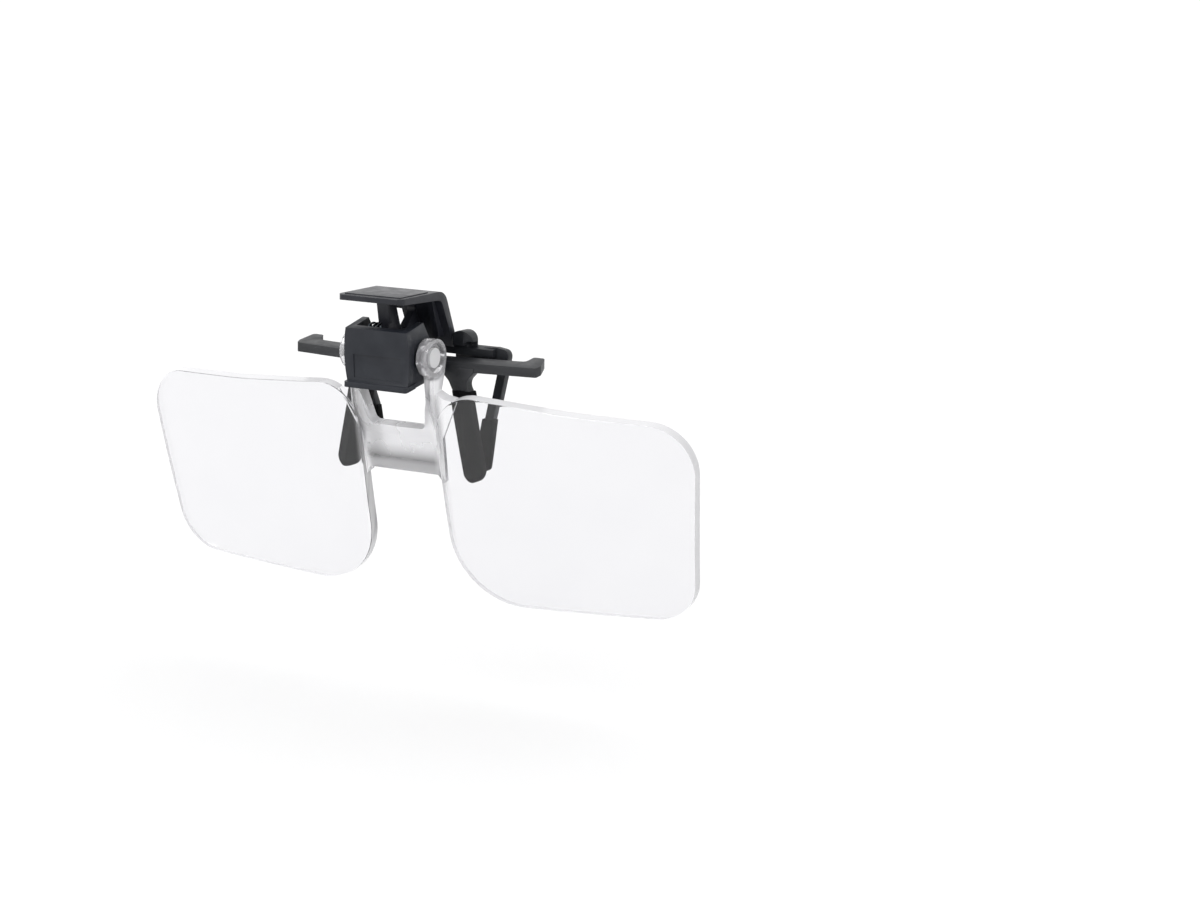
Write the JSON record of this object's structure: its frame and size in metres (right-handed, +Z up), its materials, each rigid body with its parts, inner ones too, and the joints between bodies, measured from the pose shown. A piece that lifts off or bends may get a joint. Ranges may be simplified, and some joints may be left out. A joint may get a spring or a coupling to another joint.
{
  "type": "clip-on loupe",
  "caption": "Flip-up pair of clear magnifying lenses on a spring clip with rubber-padded jaws that grips a spectacle bridge.",
  "frame": {"origin": "middle of the grip, midway between the faces of the front and rear pads", "axes": "+X to the right seen from the front, +Y towards the wearer, +Z up as worn"},
  "size_m": [0.1156, 0.0225, 0.0572],
  "materials": {
    "clear": "polished clear acrylic",
    "dark_plastic": "satin moulded blue-grey plastic",
    "pad_rubber": "matte dark grey rubber",
    "steel": "bright steel"
  },
  "bodies": {
    "clip_body": {"housing": "dark_plastic", "front_jaw": "dark_plastic", "front_pad_left": "pad_rubber", "front_pad_right": "pad_rubber", "jaw_pin": "steel", "torsion_spring": "steel"},
    "flip_lens": {"twin_lens": "clear", "flip_pin_left": "clear", "flip_pin_right": "clear", "friction_ring_left": "pad_rubber", "friction_ring_right": "pad_rubber"},
    "rear_jaw_body": {"thumb_lever": "dark_plastic", "rear_jaw": "dark_plastic", "rear_pad_left": "pad_rubber", "rear_pad_right": "pad_rubber"}
  },
  "joints": [
    {"name": "lens_flip", "type": "hinge", "parent": "clip_body", "child": "flip_lens", "pos_m": [0, -0.0104, 0.017], "axis": [-1, 0, 0], "range_deg": [0, 105]},
    {"name": "jaw_hinge", "type": "hinge", "parent": "clip_body", "child": "rear_jaw_body", "pos_m": [0, -0.0114, 0.0207], "axis": [1, 0, 0], "range_deg": [-10.3, 22], "stiffness_Nm_per_rad": 0.12, "springref_deg": -20.05, "deforming": ["torsion_spring"]}
  ]
}
